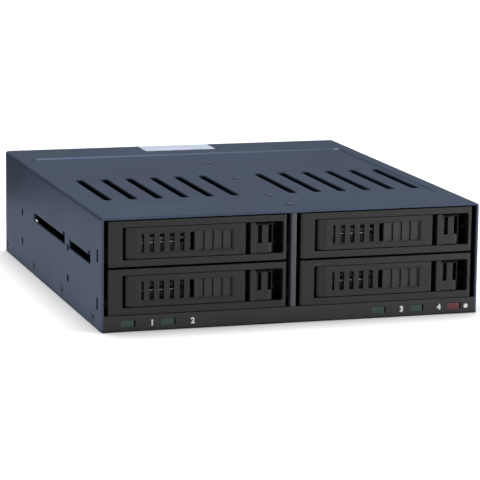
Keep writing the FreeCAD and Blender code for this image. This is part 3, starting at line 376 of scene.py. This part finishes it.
for lensName, colours in lenses.items():
    finishes[lensName] = makeLens(lensName, {**lensMoulding, **colours})


boardLook = {"runScale": 260, "runLength": 0.9, "runWidth": 0.3, "runGap": 0.09, "runBlur": 0.1,
             "runTone": (0.3, 0.3, 0.3, 1), "runStrength": 0.4, "runDepth": 0.04,
             "holeScale": 330, "holeScatter": 0.7, "holeOuter": 0.16, "holeInner": 0.12,
             "holeMetal": 0.9, "cloudScale": 120, "cloudDetail": 4, "cloudAmount": 0.3,
             "rough": 0.3, "coat": 0.4, "coatRough": 0.15, "mask": (18, 74, 44),
             "run": (30, 104, 62), "shade": (12, 52, 34), "plating": (190, 168, 110)}


def makeBoard(name, look):  # solder mask over copper runs, with small plated holes
    material = bpy.data.materials.new(name)
    material.use_nodes = True
    tree = material.node_tree
    shader = tree.nodes["Principled BSDF"]
    place = put(tree, "ShaderNodeTexCoord").outputs["Object"]
    cells = put(tree, "ShaderNodeTexBrick", {
        "Vector": place, "Scale": look["runScale"], "Mortar Size": look["runGap"],
        "Mortar Smooth": look["runBlur"], "Brick Width": look["runLength"],
        "Row Height": look["runWidth"], "Color1": (0, 0, 0, 1), "Color2": look["runTone"],
        "Mortar": (1, 1, 1, 1)})
    dots = put(tree, "ShaderNodeTexVoronoi", {"Vector": place, "Scale": look["holeScale"],
                                              "Randomness": look["holeScatter"]})
    hole = put(tree, "ShaderNodeMapRange", {"Value": dots.outputs["Distance"],
                                            "From Min": look["holeOuter"],
                                            "From Max": look["holeInner"]})
    cloud = put(tree, "ShaderNodeTexNoise", {"Vector": place, "Scale": look["cloudScale"],
                                             "Detail": look["cloudDetail"]})
    mask = blendColours(tree, cells.outputs["Color"], linear(look["mask"]), linear(look["run"]))
    clouded = maths(tree, "MULTIPLY", cloud.outputs[0], look["cloudAmount"])
    mask = blendColours(tree, clouded, mask, linear(look["shade"]))
    colour = blendColours(tree, hole.outputs[0], mask, linear(look["plating"]))
    tree.links.new(colour, shader.inputs["Base Color"])
    metal = maths(tree, "MULTIPLY", hole.outputs[0], look["holeMetal"])
    tree.links.new(metal, shader.inputs["Metallic"])
    bump = put(tree, "ShaderNodeBump", {"Height": cells.outputs["Color"],
                                        "Strength": look["runStrength"],
                                        "Distance": look["runDepth"] * mm})
    tree.links.new(bump.outputs[0], shader.inputs["Normal"])
    shader.inputs["Roughness"].default_value = look["rough"]
    shader.inputs["Coat Weight"].default_value = look["coat"]
    shader.inputs["Coat Roughness"].default_value = look["coatRough"]
    return material


finishes["circuitBoard"] = makeBoard("circuitBoard", boardLook)

slotFinish = {"painted_steel": "powderCoat", "zinc_steel": "zincSheet", "steel": "springSteel",
              "black_screw": "blackScrew", "black_plastic": "mouldedBlack",
              "socket_plastic": "socketBlack", "fan_plastic": "fanBlack",
              "green_lens": "greenLens", "red_lens": "redLens", "circuit_board": "circuitBoard",
              "brass": "turnedBrass"}
nodeFinish = {"front_bezel": "bezelBlack", "centre_post": "postGrey"}


def dress(piece, finishName):
    piece.data.materials.clear()
    piece.data.materials.append(finishes[finishName])


for part in frame["record"]["subparts"]:
    dress(nodes[part["node"]], nodeFinish.get(part["node"], slotFinish[part["material_slot"]]))
print("materials made:", len(finishes))


def settle(name, mesh, body, finishName):  # a bmesh becomes a piece that rides on a body
    data = bpy.data.meshes.new(name)
    bmesh.ops.recalc_face_normals(mesh, faces=mesh.faces)
    mesh.to_mesh(data)
    mesh.free()
    piece = bpy.data.objects.new(name, data)
    scene.collection.objects.link(piece)
    dress(piece, finishName)
    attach(piece, body)
    return piece


coilSteps, wireSides = 20, 8  # steps in one turn of a coil, and sides of a round wire


def addBrick(mesh, low, high, edge=0.0):  # a block between two corners, its edges rounded
    size = [b - a for a, b in zip(low, high)]
    middle = [(a + b) / 2 for a, b in zip(low, high)]
    place = Matrix.Translation(middle) @ Matrix.Diagonal((*size, 1))
    made = bmesh.ops.create_cube(mesh, size=1, matrix=place)
    if edge:
        edges = list({e for v in made["verts"] for e in v.link_edges})
        bmesh.ops.bevel(mesh, geom=edges, offset=edge, segments=2, affect="EDGES", profile=0.5,
                        material=-1)


def coil(mesh, centre, axis, radius, wire, turns, length, across):
    # a round wire is wound about the axis; across points from the centre to where the wire starts
    axis, across = Vector(axis), Vector(across)
    steps = int(turns * coilSteps)
    start = Vector(centre) + across * radius
    frameTurn = Matrix((across, axis, across.cross(axis))).transposed().to_4x4()
    made = bmesh.ops.create_circle(mesh, segments=wireSides, radius=wire, cap_ends=False,
                                   matrix=Matrix.Translation(start) @ frameTurn)
    ring = made["verts"] + list({e for v in made["verts"] for e in v.link_edges})
    bmesh.ops.spin(mesh, geom=ring, cent=Vector(centre), axis=axis, dvec=axis * (length / steps),
                   angle=turns * 2 * math.pi, steps=steps, use_merge=False, use_duplicate=False)
    bmesh.ops.holes_fill(mesh, edges=[e for e in mesh.edges if e.is_boundary], sides=0)


leverSpring = {"wire": 0.6, "coilRadius": 1.6, "turns": 3.6, "wound": 2.1, "leg": 16.6,
               "slack": 0.2}


def makeLeverSpring(tray, look):
    # wound on the lever's pin, its long leg lies behind the lever's slots
    low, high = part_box(f"lever_pin_{tray}")
    solidLow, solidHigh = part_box(f"lever_spring_{tray}")
    pin = (low + high) / 2
    middle = (solidLow.z + solidHigh.z) / 2
    radius = look["coilRadius"] * mm - look["wire"] / 2 * mm + look["slack"] * mm
    mesh = bmesh.new()
    coil(mesh, (pin.x, pin.y, middle - look["wound"] / 2 * mm), (0, 0, 1), radius,
         look["wire"] / 2 * mm, look["turns"], look["wound"] * mm, (1, 0, 0))
    legStart = Vector((pin.x, pin.y - radius, middle))
    turn = Matrix.Rotation(math.pi / 2, 4, "Y")
    legMiddle = legStart + Vector((look["leg"] / 2 * mm, 0, 0))
    bmesh.ops.create_cone(mesh, cap_ends=True, segments=wireSides, radius1=look["wire"] / 2 * mm,
                          radius2=look["wire"] / 2 * mm, depth=look["leg"] * mm,
                          matrix=Matrix.Translation(legMiddle) @ turn)
    piece = settle(f"leverSpringWire{tray}", mesh, f"handle_{tray}", "springSteel")
    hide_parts(f"lever_spring_{tray}")


latchSpring = {"wire": 0.35, "turns": 7, "inset": 0.05, "travel": 2.5}


def makeLatchSpring(tray, look):
    # pushes the latch towards the lever
    low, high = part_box(f"latch_spring_{tray}")
    length = high.x - low.x
    radius = (high.z - low.z) / 2 - look["wire"] / 2 * mm - look["inset"] * mm
    wire = look["wire"] / 2 * mm
    mesh = bmesh.new()
    coil(mesh, (low.x + wire, (low.y + high.y) / 2, (low.z + high.z) / 2), (1, 0, 0), radius, wire,
         look["turns"], length - 2 * wire, (0, 0, 1))
    piece = settle(f"latchSpringWire{tray}", mesh, f"tray_{tray}", "darkSpring")
    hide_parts(f"latch_spring_{tray}")
    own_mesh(piece)


for tray in (1, 2, 3, 4):
    makeLeverSpring(tray, leverSpring)
    makeLatchSpring(tray, latchSpring)
print("springs made")


stripMarks = {"height": 2.9, "bold": 0.13, "thick": 0.03, "middle": 2.75,
              "places": (-54.0, -38.6, 42.9, 57.9), "dotX": 68.75, "dot": 0.85, "dotSides": 24}
joinDistance = 1e-7


def makeStripMarks(look):  # plain numbers one to four, and one round mark
    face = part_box("front_bezel")[0].y
    for number, x in enumerate(look["places"], 1):
        words = bpy.data.curves.new(f"numberCurve{number}", "FONT")
        words.body = str(number)
        words.size = look["height"] * mm
        words.extrude = look["thick"] / 2 * mm
        words.offset = look["bold"] * mm
        words.align_x = "CENTER"
        words.align_y = "CENTER"
        flat = bpy.data.objects.new(f"numberFlat{number}", words)
        scene.collection.objects.link(flat)
        bpy.context.view_layer.update()
        graph = bpy.context.evaluated_depsgraph_get()
        data = bpy.data.meshes.new_from_object(flat.evaluated_get(graph))
        bpy.data.objects.remove(flat)
        place = Matrix.Translation((x * mm, face - look["thick"] / 2 * mm, look["middle"] * mm))
        data.transform(place @ Matrix.Rotation(math.pi / 2, 4, "X"))
        mesh = bmesh.new()
        mesh.from_mesh(data)
        bmesh.ops.remove_doubles(mesh, verts=mesh.verts, dist=joinDistance)
        settle(f"number{number}", mesh, "chassis", "printWhite")
    mesh = bmesh.new()
    place = Matrix.Translation((look["dotX"] * mm, face - look["thick"] / 2 * mm,
                                look["middle"] * mm))
    bmesh.ops.create_cone(mesh, cap_ends=True, segments=look["dotSides"],
                          radius1=look["dot"] * mm, radius2=look["dot"] * mm,
                          depth=look["thick"] * mm,
                          matrix=place @ Matrix.Rotation(math.pi / 2, 4, "X"))
    settle("activityDot", mesh, "chassis", "printWhite")


makeStripMarks(stripMarks)


coverLabel = {"low": (-15.3, 69.0), "high": (15.2, 82.3), "thick": 0.05, "corner": 0.8,
              "cornerSteps": 4}


def makeCoverLabel(look):
    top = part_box("top_cover")[1].z
    mesh = bmesh.new()
    addBrick(mesh, (look["low"][0] * mm, look["low"][1] * mm, top),
             (look["high"][0] * mm, look["high"][1] * mm, top + look["thick"] * mm))
    upright = [e for e in mesh.edges
               if abs(e.verts[0].co.z - e.verts[1].co.z) > look["thick"] / 2 * mm]
    bmesh.ops.bevel(mesh, geom=upright, offset=look["corner"] * mm, segments=look["cornerSteps"],
                    affect="EDGES", profile=0.5, material=-1)
    settle("coverLabel", mesh, "chassis", "labelPaper")


makeCoverLabel(coverLabel)
print("marks and label made")


boardParts = {"chips": [((-9, 53.5), (3, 61.5), 1.7), ((8, 54.5), (14, 58.5), 1.6)],
              "pinPitch": 1.27, "pinWide": 0.4, "pinThick": 0.25, "chipLift": 0.3,
              "chipRound": 0.25, "pinInside": 0.2, "pinKnee": 0.6, "footStart": 0.4,
              "footEnd": 1.1,
              "cans": (-20, 20), "canY": 59.5, "canRadius": 3.0, "canHeight": 6.0, "canSteps": 20,
              "canProfile": [(0.9, 0), (1, 0.06), (1, 0.16), (0.9, 0.2), (1, 0.25), (1, 0.95),
                             (0.9, 1), (0, 1)],
              "partRound": 0.1,
              "frontRow": {"start": -25.5, "pitch": 2.4, "count": 9, "skipped": (1, 2, 3),
                           "ys": (53.4, 55.2), "wide": 1.2, "high": 0.6},
              "backRow": {"start": 6.0, "pitch": 2.6, "count": 5, "skipped": (),
                          "ys": (62.5, 64.4), "wide": 1.3, "high": 0.7}}


def addChip(body, legs, low, high, look):  # a moulded chip on a row of bent legs at each side
    lift, thick = look["chipLift"] * mm, look["pinThick"] * mm
    addBrick(body, (low[0], low[1], low[2] + lift), high, look["chipRound"] * mm)
    count = int((high[0] - low[0]) / (look["pinPitch"] * mm)) - 1
    for i in range(count):
        x = low[0] + (i + 1) * look["pinPitch"] * mm
        for side in (-1, 1):
            edge = low[1] if side < 0 else high[1]
            ys = sorted((edge - side * look["pinInside"] * mm, edge + side * look["pinKnee"] * mm))
            addBrick(legs, (x, ys[0], low[2] + lift),
                     (x + look["pinWide"] * mm, ys[1], low[2] + lift + thick))
            ys = sorted((edge + side * look["footStart"] * mm, edge + side * look["footEnd"] * mm))
            addBrick(legs, (x, ys[0], low[2]),
                     (x + look["pinWide"] * mm, ys[1], low[2] + thick))


def addCan(cans, x, y, z, look):  # an electrolytic can with a rolled neck
    radius, height = look["canRadius"] * mm, look["canHeight"] * mm
    start = [cans.verts.new((x + across * radius, y, z + up * height))
             for across, up in look["canProfile"]]
    line = [cans.edges.new(pair) for pair in zip(start, start[1:])]
    bmesh.ops.spin(cans, geom=start + line, cent=(x, y, z), axis=(0, 0, 1), angle=2 * math.pi,
                   steps=look["canSteps"], use_merge=True)


def addRow(small, top, row, edge):  # a row of small parts, with some places left empty
    for i in range(row["count"]):
        x = (row["start"] + row["pitch"] * i) * mm
        if i not in row["skipped"]:
            addBrick(small, (x, row["ys"][0] * mm, top),
                     (x + row["wide"] * mm, row["ys"][1] * mm, top + row["high"] * mm), edge)


def makeBoardParts(look):
    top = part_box("io_board")[1].z
    chips, legs, cans, small = bmesh.new(), bmesh.new(), bmesh.new(), bmesh.new()
    for (x0, y0), (x1, y1), high in look["chips"]:
        addChip(chips, legs, (x0 * mm, y0 * mm, top), (x1 * mm, y1 * mm, top + high * mm), look)
    for x in look["cans"]:
        addCan(cans, x * mm, look["canY"] * mm, top, look)
    for row in ("frontRow", "backRow"):
        addRow(small, top, look[row], look["partRound"] * mm)
    settle("boardChips", chips, "chassis", "chipBlack")
    settle("boardChipLegs", legs, "chassis", "tinnedMetal")
    bmesh.ops.remove_doubles(cans, verts=cans.verts, dist=joinDistance)
    bmesh.ops.holes_fill(cans, edges=[e for e in cans.edges if e.is_boundary], sides=0)
    settle("boardCans", cans, "chassis", "tinnedMetal")
    settle("boardResistors", small, "chassis", "ceramicTan")


makeBoardParts(boardParts)
print("board parts made")


studio = {"floorSize": 12.0, "floorDrop": 0.0002, "floorColour": (234, 234, 235), "floorLift": 0.50,
          "paintedShadowReach": 0.022, "paintedShadowPower": 1.5, "worldLight": 0.22, "aim": (0, 0, 0.02),
          "key": {"power": 27.0, "place": (-0.1, 0.5, 1.83), "size": 1.5},
          "fill": {"power": 1.7, "place": (0.40, -0.36, 0.2), "size": 0.25},
          "side": {"power": 0.9, "place": (-0.6, -0.4, 0.1), "size": 0.3},
          "flag": {"place": (-0.28, 0.20, 0.065), "size": (0.4, 0.13), "colour": (26, 20, 10),
                   "rough": 0.9}}


def makeFloor(look):
    data = bpy.data.meshes.new("floor")
    mesh = bmesh.new()
    bmesh.ops.create_grid(mesh, x_segments=1, y_segments=1, size=look["floorSize"] / 2,
                          matrix=Matrix.Translation((0, 0, -look["floorDrop"])))
    mesh.to_mesh(data)
    mesh.free()
    floor = bpy.data.objects.new("floor", data)
    scene.collection.objects.link(floor)
    material = bpy.data.materials.new("floor")
    material.use_nodes = True
    tree = material.node_tree
    tree.nodes.clear()
    diffuse = put(tree, "ShaderNodeBsdfDiffuse", {"Color": linear(look["floorColour"])})
    rays = put(tree, "ShaderNodeLightPath")
    # painted contact shadow: the floor's camera-only glow is dimmed near the object
    nearby = put(tree, "ShaderNodeAmbientOcclusion", {"Distance": look["paintedShadowReach"]},
                 samples=12)
    openFloor = maths(tree, "POWER", nearby.outputs["AO"], look["paintedShadowPower"])
    lift = maths(tree, "MULTIPLY", rays.outputs["Is Camera Ray"],
                 maths(tree, "MULTIPLY", openFloor, look["floorLift"]))
    glow = put(tree, "ShaderNodeEmission", {"Color": (1, 1, 1, 1), "Strength": lift})
    both = put(tree, "ShaderNodeAddShader", {0: diffuse.outputs[0], 1: glow.outputs[0]})
    put(tree, "ShaderNodeOutputMaterial", {"Surface": both.outputs[0]})
    data.materials.append(material)


def makeFlag(look):  # a dark card behind and to the left, seen only in reflections
    data = bpy.data.meshes.new("flag")
    mesh = bmesh.new()
    upright = Matrix.Rotation(math.pi / 2, 4, "X") @ Matrix.Diagonal((*look["size"], 1, 1))
    bmesh.ops.create_grid(mesh, x_segments=1, y_segments=1, size=0.5,
                          matrix=Matrix.Translation(look["place"]) @ upright)
    mesh.to_mesh(data)
    mesh.free()
    flag = bpy.data.objects.new("flag", data)
    scene.collection.objects.link(flag)
    material = bpy.data.materials.new("flag")
    material.use_nodes = True
    cloth = material.node_tree.nodes["Principled BSDF"]
    cloth.inputs["Base Color"].default_value = linear(look["colour"])
    cloth.inputs["Roughness"].default_value = look["rough"]
    data.materials.append(material)
    flag.visible_camera = False
    flag.visible_shadow = False
    flag.visible_diffuse = False


def makeWorld(look):
    world = bpy.data.worlds.new("surroundings")
    scene.world = world
    world.use_nodes = True
    tree = world.node_tree
    tree.nodes.clear()
    rays = put(tree, "ShaderNodeLightPath")
    seen = maths(tree, "MAXIMUM", rays.outputs["Is Camera Ray"],
                 rays.outputs["Is Transmission Ray"])
    strength = put(tree, "ShaderNodeMapRange", {"Value": seen, "To Min": look["worldLight"],
                                                "To Max": 1.0})
    backdrop = put(tree, "ShaderNodeBackground", {"Color": (1, 1, 1, 1),
                                                  "Strength": strength.outputs[0]})
    put(tree, "ShaderNodeOutputWorld", {"Surface": backdrop.outputs[0]})


def makeLamp(name, look, aim):
    data = bpy.data.lights.new(name, "AREA")
    data.shape = "DISK"
    data.energy = look["power"]
    data.size = look["size"]
    lamp = bpy.data.objects.new(name, data)
    scene.collection.objects.link(lamp)
    lamp.location = look["place"]
    lamp.rotation_mode = "QUATERNION"
    lamp.rotation_quaternion = (Vector(aim) - Vector(look["place"])).to_track_quat("-Z", "Y")


makeFloor(studio)
makeWorld(studio)
makeFlag(studio["flag"])
for lampName in ("key", "fill", "side"):
    makeLamp(lampName, studio[lampName], studio["aim"])
print("stage set")
